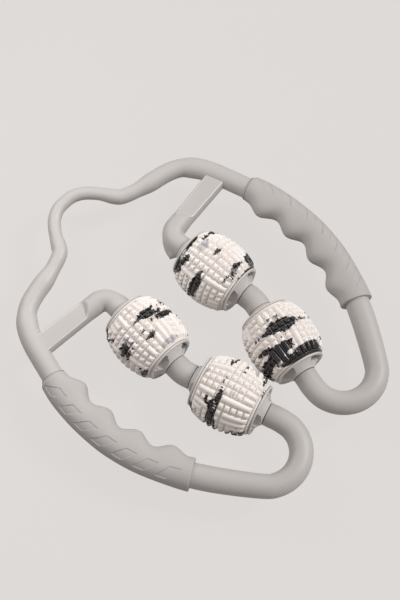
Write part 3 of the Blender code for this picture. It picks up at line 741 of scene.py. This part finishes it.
def steel_material():
    """Drawn steel with fine scratches along the rod."""
    nodes = Nodes("axle_steel")
    place = nodes.stretched(nodes.place(), SCRATCH_STRETCH)
    scratches = nodes.noise(place, SCRATCH_SCALE, FINE_DETAIL)
    nodes.set(
        Base_Color=nodes.mix(scratches, *[opaque(STEEL, tone) for tone in SCRATCH_TONES]),
        Metallic=1.0,
        Roughness=nodes.span(scratches, *NOISE_RANGE, *STEEL_ROUGHNESS),
        Normal=nodes.bump(scratches, SCRATCH_STRENGTH, SCRATCH_HEIGHT))
    return nodes.material


# Ring

def make_bow(plan, material):
    """The thin loop between the two necks."""
    rings = track_rings(plan.ring, plan.neck, 0.0, 1)
    rings += track_rings(plan.ring, 0.0, plan.neck, -1)[1:]
    bow = finished("bow", bridged(rings))
    dress(bow, material, "frame", None, "spring_bow")
    neck = plan.ring.at(plan.neck)
    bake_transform(bow)


def make_arm(plan, word, side, material):
    """One arm of the frame, from the neck round to the end of the hook."""
    last = plan.ring.length
    rings = track_rings(plan.ring, plan.neck, last - TUBE_EDGE, side)
    rings += end_rings(plan.ring, last, -1, side)
    arm = finished(word + "_arm_tube", bridged(rings))
    dress(arm, material, "frame", word + "_frame", word + "_arm")


def strut_track(plan):
    """The strut's centre line from the elbow's end round the elbow and out to the arm's."""
    ways = (plan.head_way, plan.strut_way)
    turn = rounded_corner(plan.elbow_corner, *ways, ELBOW_BEND_R, TUBE_SIDES // 2)
    far_end = plan.elbow_corner + plan.strut_way * plan.strut_length
    run = with_radius([plan.elbow_end, *turn], ELBOW_R - ELBOW_TRIM)
    run += with_radius([turn[-1] + plan.strut_way * ELBOW_TAPER], STRUT_R)
    return Track(run + with_radius([far_end], STRUT_END_R))


def flat_height(ahead):
    """Height of the bar's top over the ring's middle plane, with the step that ends the flat."""
    into = min(1.0, max(0.0, FLAT_START - ahead) / STEP_LENGTH)
    return STRUT_FLAT_HEIGHT + STEP_RISE * into * (2 - into)


def flat_edge(ahead, radius, edge):
    """Angle above level at which the bar's top meets its round side, on the side of +1 or -1."""
    low, high = 0.0, WIDEST_EDGE_ANGLE
    for _ in range(EDGE_SEARCH_STEPS):
        middle = (low + high) / 2
        across = edge * radius * math.cos(middle)
        if radius * math.sin(middle) > flat_height(ahead + across * math.tan(FLAT_SKEW)):
            high = middle
        else:
            low = middle
    return low


def strut_section(plan, place, lip):
    """Points of the strut's section as (across, up): its top, then its round underside."""
    radius = place.z
    ahead = (place.xy - plan.elbow_corner).dot(plan.strut_way)
    near = flat_edge(ahead, radius, 1)
    far = flat_edge(ahead, radius, -1)
    start = radius * math.cos(near) - FLAT_BEVEL
    end = FLAT_BEVEL - radius * math.cos(far)
    section = []
    for step in range(STRUT_TOP_STEPS + 1):
        across = start + (end - start) * step / STRUT_TOP_STEPS
        top = flat_height(ahead + across * math.tan(FLAT_SKEW))
        section.append((across, min(top, math.sqrt(radius ** 2 - across ** 2))))
    first = math.pi - far + FLAT_BEVEL / radius
    last = 2 * math.pi + near - FLAT_BEVEL / radius
    for step in range(STRUT_ROUND_STEPS + 1):
        angle = first + (last - first) * step / STRUT_ROUND_STEPS
        reach = radius + lip * max(0.0, math.cos(angle - LIP_WAY)) ** LIP_POWER
        section.append((reach * math.cos(angle), reach * math.sin(angle)))
    return section


def strut_ring(plan, track, distance, side, trim=0.0):
    """The strut's section placed at a distance along it, made smaller by a trim."""
    place = track.at(distance) - Vector((0.0, 0.0, trim))
    way = track.way(distance)
    rise, fall = distance / LIP_PEAK, (LIP_LENGTH - distance) / (LIP_LENGTH - LIP_PEAK)
    lip = LIP_REACH * max(0.0, min(rise, fall))
    ring = []
    for across, up in strut_section(plan, place, lip):
        flat = place.xy + turned_left(way) * across
        ring.append(Vector((side * flat.x, flat.y, RING_Z + up)))
    return ring


def make_strut(plan, word, side, material, edge_highlight):
    """The elbow and the flat-topped bar that run into the arm, with a painted highlight on the
    edges along the flat.
    """
    track = strut_track(plan)
    rings = []
    for angle in reversed(EDGE_ANGLES):
        back = TUBE_EDGE * (1 - math.sin(angle))
        rings.append(strut_ring(plan, track, back, side, TUBE_EDGE * (1 - math.cos(angle))))
    count = round(track.length / STRUT_STEP)
    distances = [TUBE_EDGE + (track.length - TUBE_EDGE) * step / count for step in range(count + 1)]
    rings += [strut_ring(plan, track, distance, side) for distance in distances]
    bm = bridged(rings)
    bm.faces.ensure_lookup_table()
    width = len(rings[0])
    flat_begins = track.length - plan.strut_length + FLAT_START
    # The bevels along the flat get the lighter grey of the painted highlight
    for number, distance in enumerate(distances[:-1], start=len(rings) - len(distances)):
        if distance > flat_begins:
            for column in (STRUT_TOP_STEPS, width - 1):
                # The faces of the two ends come first
                bm.faces[2 + number * width + column].material_index = 1
    strut = finished(word + "_strut_bar", bm)
    strut.data.materials.append(material)
    strut.data.materials.append(edge_highlight)
    dress(strut, material, "frame", word + "_frame", word + "_strut")


# Grips

def grown_wall(wall, distance, ramp):
    """A wall that grows over a ramp from the thin one at a grip's head end."""
    share = min(1.0, distance / ramp)
    swell = share * share * (3 - 2 * share)
    return GRIP_HEAD_WALL + (wall - GRIP_HEAD_WALL) * swell


def grip_walls(distance):
    """Wall thickness outside, above and on the finger side, at a distance along a grip."""
    along = (distance - GRIP_PLAIN_END) / (GRIP_LENGTH - GRIP_PLAIN_END * 2)
    wave = 0.0
    if 0.0 < along < 1.0:
        wave = (1 - math.cos(2 * math.pi * GRIP_RIDGES * along)) / 2
    finger = GRIP_VALLEY_WALL + (GRIP_RIDGE_WALL - GRIP_VALLEY_WALL) * wave
    return (
        grown_wall(GRIP_OUTER_WALL, distance, GRIP_HEAD_RAMP),
        grown_wall(GRIP_TOP_WALL, distance, GRIP_HEAD_RAMP),
        grown_wall(finger, distance, GRIP_FINGER_RAMP))


def grip_point(plan, distance, angle, lift, side):
    """A point of a grip's surface, raised by a lift. Angle 0 is outwards and a quarter up."""
    place = plan.ring.at(plan.grip_start + distance)
    outward = turned_left(plan.ring.way(plan.grip_start + distance))
    outer, top, finger = [place.z + FIT_GAP + wall + lift for wall in grip_walls(distance)]
    reach = outer if math.cos(angle) > 0.0 else finger
    flat = place.xy + outward * reach * math.cos(angle)
    return Vector((side * flat.x, flat.y, RING_Z + top * math.sin(angle)))


def grip_ring(plan, distance, lift, side):
    """One ring of a grip's surface."""
    angles = [2 * math.pi * index / GRIP_SIDES for index in range(GRIP_SIDES)]
    return [grip_point(plan, distance, angle, lift, side) for angle in angles]


def recess_cutter(plan, number, side):
    """A slanted four-sided block whose floor follows the grip's surface."""
    middle = RECESS_END + RECESS_SPAN * (number + 0.5) / RECESS_COUNT
    rings = []
    for lift in (-RECESS_DEPTH, RECESS_DEPTH * 2):
        grid = []
        for row in range(RECESS_STEPS + 1):
            share = row / RECESS_STEPS
            angle = RECESS_LOW + (RECESS_HIGH - RECESS_LOW) * share
            start = middle - RECESS_LENGTH / 2 + RECESS_SLANT * (share - 0.5)
            line = []
            for column in range(RECESS_STEPS + 1):
                distance = start + RECESS_LENGTH * column / RECESS_STEPS
                line.append(grip_point(plan, distance, angle, lift, side))
            grid.append(line)
        rings.append(grid)
    return finished("recess_cutter", slab(rings[0], rings[1]))


def slab(floor, roof):
    """A closed solid between two grids of points."""
    bm = bmesh.new()
    grids = [[[bm.verts.new(point) for point in line] for line in grid] for grid in (floor, roof)]
    rows = len(floor) - 1
    columns = len(floor[0]) - 1
    for grid in grids:
        for row in range(rows):
            for column in range(columns):
                low, high = grid[row], grid[row + 1]
                bm.faces.new((low[column], low[column + 1], high[column + 1], high[column]))
    low, high = grids
    rims = [((row, column), (row + 1, column)) for row in range(rows) for column in (0, columns)]
    rims += [((row, column), (row, column + 1)) for column in range(columns) for row in (0, rows)]
    for (row, column), (next_row, next_column) in rims:
        bm.faces.new((
            low[row][column], low[next_row][next_column],
            high[next_row][next_column], high[row][column]))
    return bm


def make_grip(plan, word, side, material, recess):
    """A soft sleeve round the arm with finger ridges on its inner side and slanted recesses."""
    count = round((GRIP_LENGTH - GRIP_EDGE) / GRIP_STEP)
    distances = [(GRIP_LENGTH - GRIP_EDGE) * step / count for step in range(count + 1)]
    near, far = GRIP_SEAM_PLACE, GRIP_SEAM_PLACE + GRIP_SEAM_WIDTH
    levels = [(0.0, 0.0), (near, 0.0), (near, -GRIP_SEAM_DEPTH)]
    levels += [(far, -GRIP_SEAM_DEPTH), (far, 0.0)]
    levels += [(distance, 0.0) for distance in distances if distance > far + GRIP_EDGE]
    rings = [grip_ring(plan, distance, lift, side) for distance, lift in levels]
    for angle in GRIP_EDGE_ANGLES:
        distance = GRIP_LENGTH - GRIP_EDGE * (1 - math.sin(angle))
        rings.append(grip_ring(plan, distance, -GRIP_EDGE * (1 - math.cos(angle)), side))
    for distance in reversed(distances[::GRIP_BORE_STRIDE] + [GRIP_LENGTH]):
        place = plan.ring.at(plan.grip_start + distance)
        outward = turned_left(plan.ring.way(plan.grip_start + distance))
        rings.append(tube_ring(place.xy, outward, place.z + FIT_GAP / 2, side, GRIP_SIDES))
    grip = finished(word + "_grip_sleeve", bridged(rings, closed=True))
    grip.data.materials.append(material)
    cutters = []
    for number in range(RECESS_COUNT):
        cutter = recess_cutter(plan, number, side)
        cutter.data.materials.append(recess)
        cutters.append(cutter)
    cut(grip, *cutters)
    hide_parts(word + "_grip")
    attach(grip, word + "_frame")


def make_spacer(plan, word, side, material):
    """A bent collar on the axle between the two rollers of a side."""
    start = plan.bend + plan.head_way * SPACER_LENGTH / 2
    end = plan.bend - plan.tail_way * SPACER_LENGTH / 2
    ways = (-plan.head_way, -plan.tail_way)
    middle = rounded_corner(plan.bend, *ways, AXLE_BEND_R, TUBE_SIDES // 4)
    track = Track(with_radius([start, *middle, end], SPACER_R))
    rings = end_rings(track, 0.0, 1, side)[::-1]
    rings += track_rings(track, TUBE_EDGE, track.length - TUBE_EDGE, side)
    rings += end_rings(track, track.length, -1, side)
    spacer = finished(word + "_spacer_collar", bridged(rings))
    dress(spacer, material, "frame", word + "_frame", word + "_spacer")


# Rollers

def polar(radius, turn, height):
    """A point at a radius from the Z axis, at a turn about it and at a height."""
    return Vector((radius * math.cos(turn), radius * math.sin(turn), height))


def barrel_radius(height):
    """Radius over the studs at a distance from the roller's middle."""
    return STUD_TOP_R - BARREL_FALL * (height / ROLLER_HALF) ** 2


def groove_rise(share, width):
    """Height as a share of a stud's, at a share of its cell and with its groove that wide."""
    edge = min(1.0, min(share, 1.0 - share) / width)
    slope = max(0.0, (edge - GROOVE_FLOOR) / (1.0 - GROOVE_FLOOR))
    return slope * (2.0 - slope)


def row_blocks(row):
    """The first column and the length of each stud or bar in a row."""
    blocks = []
    column = 0
    for length in ROW_CELLS[row % len(ROW_CELLS)]:
        blocks += [(column, length)] * length
        column += length
    return blocks


def skin_mesh(first_row):
    """The roller's skin: a barrel of domed studs and long bars with round grooves between them."""
    cell = STUD_BAND_HALF * 2 / STUD_COLUMNS
    along = [column + share for column in range(STUD_COLUMNS) for share in CELL_SHARES]
    along.append(float(STUD_COLUMNS))
    rings = [[] for _ in along]
    for row in range(STUD_ROWS):
        blocks = row_blocks(first_row + row)
        for share in CELL_SHARES:
            turn = 2 * math.pi * (row + share - 0.5) / STUD_ROWS
            round_rise = groove_rise(share, GROOVE_SHARE)
            for index, place in enumerate(along):
                first, length = blocks[min(int(place), STUD_COLUMNS - 1)]
                in_block = (place - first) / length
                rise = min(round_rise, groove_rise(in_block, GROOVE_SHARE / length))
                height = STUD_BAND_HALF - cell * place
                radius = barrel_radius(height) - GROOVE_DEPTH * (1 - rise)
                rings[index].append(polar(radius, turn, height))
    shape = finished("skin_shape", bridged(skin_rims(rings), closed=True), SKIN_SMOOTH_ANGLE)
    mesh = shape.data
    bpy.data.objects.remove(shape, do_unlink=True)
    return mesh


def skin_rims(rings):
    """The studded rings with the smooth rims and the bore added."""
    turns = [math.atan2(point.y, point.x) for point in rings[0]]

    def circle(radius, height):
        return [polar(radius, turn, height) for turn in turns]

    root = barrel_radius(STUD_BAND_HALF) - STUD_HEIGHT
    edge = (ROLLER_HALF - STUD_BAND_HALF) / 3
    head = [
        circle(DRUM_R + FIT_GAP, ROLLER_HALF),
        circle(ROLLER_RIM_R - edge, ROLLER_HALF),
        circle(ROLLER_RIM_R - edge / 4, ROLLER_HALF - edge / 4),
        circle(ROLLER_RIM_R, ROLLER_HALF - edge),
        circle(root, STUD_BAND_HALF + edge),
    ]
    tail = [[Vector((point.x, point.y, -point.z)) for point in ring] for ring in reversed(head)]
    return head + rings + tail


def window_cutter(turn):
    """A rounded fan-shaped block that cuts one window into a hub's face."""
    inner = BOSS_TIP_R + WINDOW_REACH / 2
    outer = CAP_FLANGE_R - CAP_LIP + WINDOW_REACH
    floor = ROLLER_HALF + FIT_GAP + CAP_FLANGE - WINDOW_DEPTH
    outline = []
    corners = (
        (outer, -1, WINDOW_ROUND), (outer, 1, WINDOW_ROUND),
        (inner, 1, WINDOW_INNER_ROUND), (inner, -1, WINDOW_INNER_ROUND))
    # Each corner's arc starts a quarter turn on from the last one's
    for quarter, (radius, edge, pull) in enumerate(corners, start=-1):
        centre_radius = radius - pull if radius == outer else radius + pull
        centre_turn = edge * (WINDOW_HALF_ANGLE - pull / radius)
        centre = polar(centre_radius, centre_turn, 0.0).xy
        for step in range(WINDOW_CORNER_STEPS + 1):
            degrees = 90.0 * quarter + 90.0 * step / WINDOW_CORNER_STEPS
            outline.append(centre + heading(math.radians(degrees) + centre_turn) * pull)
    points = [Matrix.Rotation(turn, 2) @ point for point in outline]
    rings = [[Vector((*point, height)) for point in points] for height in (floor, HUB_HALF * 2)]
    return finished("window_cutter", bridged(rings))


def spun(name, profile, segments):
    """A closed profile of radius and height turned about the Z axis."""
    rings = []
    for index in range(segments):
        turn = 2 * math.pi * index / segments
        rings.append([polar(radius, turn, height) for radius, height in profile])
    return finished(name, bridged(rings, closed=True))


def cap_mesh(material, window):
    """An end cap: rim ring, cone with three windows, and the neck that meets the tube."""
    root = ROLLER_HALF - DRUM_INSET + FIT_GAP
    seat = ROLLER_HALF + FIT_GAP / 3
    face = ROLLER_HALF + FIT_GAP + CAP_FLANGE
    lip = CAP_FLANGE_R - CAP_LIP
    bore = BOSS_TIP_R / 2
    edge = CAP_FLANGE / 3
    profile = [(bore, root), (bore, HUB_HALF), (BOSS_TIP_R - edge, HUB_HALF)]
    profile += [(BOSS_TIP_R, HUB_HALF - edge), (BOSS_ROOT_R, face + BOSS_ROOT_HEIGHT)]
    profile += [(lip, face - edge), (lip + edge, face - edge / 3), (lip + edge * 2, face)]
    profile += [(CAP_FLANGE_R - edge, face), (CAP_FLANGE_R - edge / 3, face - edge / 3)]
    profile += [(CAP_FLANGE_R, face - edge), (CAP_FLANGE_R, seat + SEAM_WIDTH)]
    profile += [(CAP_FLANGE_R - SEAM_DEPTH, seat + SEAM_WIDTH), (CAP_FLANGE_R - SEAM_DEPTH, seat)]
    profile += [(DRUM_R, seat), (DRUM_R, root)]
    cap = spun("cap_shape", profile, CAP_SEGMENTS)
    cap.data.materials.append(material)
    cutters = [window_cutter(2 * math.pi * number / WINDOWS) for number in range(WINDOWS)]
    # The windows' walls and floors take the dark grey of the painted shade
    for cutter in cutters:
        cutter.data.materials.append(window)
    cut(cap, *cutters)
    mesh = cap.data
    mesh.shade_smooth()
    mesh.set_sharp_from_angle(angle=SMOOTH_ANGLE)
    bpy.data.objects.remove(cap, do_unlink=True)
    return mesh


def axle_place(centre, way, side):
    """The place of a roller: local +Z towards the bow, a row of studs straight down."""
    axis = Vector((side * way.x, way.y, 0.0))
    basis = Matrix((-UP, axis.cross(-UP), axis)).transposed().to_4x4()
    return Matrix.Translation((side * centre.x, centre.y, RING_Z)) @ basis


def add_turned(name, mesh, material, slot, place, body, node):
    """A turned piece put on a roller's axis."""
    obj = link(bpy.data.objects.new(name, mesh.copy()))
    obj.matrix_world = place
    dress(obj, material, slot, body, node)


def make_rollers(plan, looks):
    """Two rollers on each axle, each with its skin and two caps."""
    hub = looks["hub"]
    cap = cap_mesh(hub, looks["window"])
    stations = {
        "head": (plan.head_roller, plan.head_way),
        "tail": (plan.tail_roller, plan.tail_way),
    }
    for word, side in SIDES.items():
        for end, (centre, way) in stations.items():
            which = f"{word}_{end}"
            body = which + "_roller"
            place = axle_place(centre, way, side)
            turned = place @ Matrix.Rotation(math.radians(HUB_TURNS[which]), 4, "Z")
            flipped = turned @ Matrix.Rotation(math.pi, 4, "X")
            rubber = skin_material(body + "_rubber", SPLASH_SHIFTS[which])
            skin = skin_mesh(FIRST_ROWS[which])
            add_turned(body + "_studs", skin, rubber, "roller_skin", place, body, body + "_skin")
            add_turned(body + "_head_hub", cap, hub, "frame", turned, body, body + "_head_cap")
            add_turned(body + "_tail_hub", cap, hub, "frame", flipped, body, body + "_tail_cap")


# Stage

def make_camera():
    """The camera at the photograph's angle."""
    camera = link(bpy.data.objects.new("camera", bpy.data.cameras.new("camera")))
    camera.data.lens = CAMERA_LENS
    level_reach = math.cos(CAMERA_ELEVATION)
    back = Vector((
        math.sin(CAMERA_AZIMUTH) * level_reach,
        -math.cos(CAMERA_AZIMUTH) * level_reach,
        math.sin(CAMERA_ELEVATION)))
    camera.location = Vector(CAMERA_TARGET) + back * CAMERA_DISTANCE
    camera.rotation_mode = "QUATERNION"
    camera.rotation_quaternion = (-back).to_track_quat("-Z", "Y")
    bpy.context.scene.camera = camera


def backdrop_seen(tree):
    """1 for rays from the camera and for those that mirror or pass through a piece, else 0."""
    rays = tree.nodes.new("ShaderNodeLightPath")
    seen = rays.outputs["Is Camera Ray"]
    for kind in ("Is Glossy Ray", "Is Transmission Ray"):
        either = tree.nodes.new("ShaderNodeMath")
        either.operation = "MAXIMUM"
        tree.links.new(seen, either.inputs[0])
        tree.links.new(rays.outputs[kind], either.inputs[1])
        seen = either.outputs[0]
    return seen


def add_light(name, kind, way):
    """A light that shines from a direction."""
    light = link(bpy.data.objects.new(name, bpy.data.lights.new(name, kind)))
    light.rotation_mode = "QUATERNION"
    light.rotation_quaternion = way.to_track_quat("Z", "Y")
    return light


def make_lights():
    """One broad soft light, and a nearer lamp on the other side that the camera can't see."""
    key = add_light("key", "SUN", Vector(LIGHT_WAY))
    key.data.energy = LIGHT_STRENGTH
    key.data.angle = LIGHT_ANGLE
    near = add_light("near_lamp", "AREA", Vector(NEAR_LAMP_PLACE) - Vector(CAMERA_TARGET))
    near.data.energy = NEAR_LAMP_POWER
    near.data.size = NEAR_LAMP_SIZE
    near.location = NEAR_LAMP_PLACE
    near.visible_camera = False


def make_world():
    """An even glow from all round, behind which the backdrop's colour shows."""
    world = bpy.context.scene.world or bpy.data.worlds.new("world")
    bpy.context.scene.world = world
    world.use_nodes = True
    tree = world.node_tree
    sky = tree.nodes["Background"]
    sky.inputs["Color"].default_value = opaque(SKY_COLOUR)
    sky.inputs["Strength"].default_value = SKY_STRENGTH
    backdrop = tree.nodes.new("ShaderNodeBackground")
    backdrop.inputs["Color"].default_value = opaque(BACKGROUND)
    choice = tree.nodes.new("ShaderNodeMixShader")
    tree.links.new(backdrop_seen(tree), choice.inputs[0])
    tree.links.new(sky.outputs[0], choice.inputs[1])
    tree.links.new(backdrop.outputs[0], choice.inputs[2])
    tree.links.new(choice.outputs[0], tree.nodes["World Output"].inputs["Surface"])


def floor_material():
    """A pale matte floor that shows the photograph's background colour and a faint shadow."""
    nodes = Nodes("floor")
    speck = nodes.noise(nodes.place(), SPECK_SCALE)
    colour = nodes.mottled(speck, BACKGROUND, SPECK_MOTTLE)
    seen = backdrop_seen(nodes.tree)
    floor_colour = nodes.mix(seen, opaque(BACKGROUND, FLOOR_GREY), colour)
    nodes.set(Base_Color=floor_colour, Roughness=FLOOR_ROUGHNESS, Specular_IOR_Level=0.0)
    glow = nodes.add("ShaderNodeEmission", {"Color": colour, "Strength": 1.0})
    blend = nodes.add("ShaderNodeMixShader", {0: nodes.math("MULTIPLY", seen, FLOOR_GLOW)})
    nodes.feed(blend.inputs[1], nodes.shader.outputs[0])
    nodes.feed(blend.inputs[2], glow.outputs[0])
    output = nodes.tree.nodes["Material Output"]
    nodes.feed(output.inputs["Surface"], blend.outputs[0])
    return nodes.material


def make_floor():
    """A plain level floor under the rollers."""
    bm = bmesh.new()
    corners = [(x * FLOOR_HALF, y * FLOOR_HALF) for x, y in ((-1, -1), (1, -1), (1, 1), (-1, 1))]
    bm.faces.new([bm.verts.new((x, y, FLOOR_Z)) for x, y in corners])
    floor = finished("floor", bm)
    floor.data.materials.append(floor_material())


def dress_inner_nodes(looks):
    """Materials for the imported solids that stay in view."""
    for name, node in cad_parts.items():
        for ending, look in INNER_LOOKS.items():
            if name.endswith(ending):
                node.data.materials.clear()
                node.data.materials.append(looks[look])


def main():
    """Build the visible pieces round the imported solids, and the stage."""
    plan = Plan()
    looks = {look: plastic(*finish) for look, finish in FINISHES.items()}
    looks["recess"] = recess_material()
    looks["steel"] = steel_material()
    make_bow(plan, looks["frame"])
    for word, side in SIDES.items():
        make_arm(plan, word, side, looks["frame"])
        make_strut(plan, word, side, looks["frame"], looks["edge_highlight"])
        make_grip(plan, word, side, looks["grip"], looks["recess"])
        make_spacer(plan, word, side, looks["frame"])
    make_rollers(plan, looks)
    dress_inner_nodes(looks)
    make_floor()
    make_lights()
    make_world()
    make_camera()
    bpy.context.scene.view_settings.view_transform = "Standard"


main()
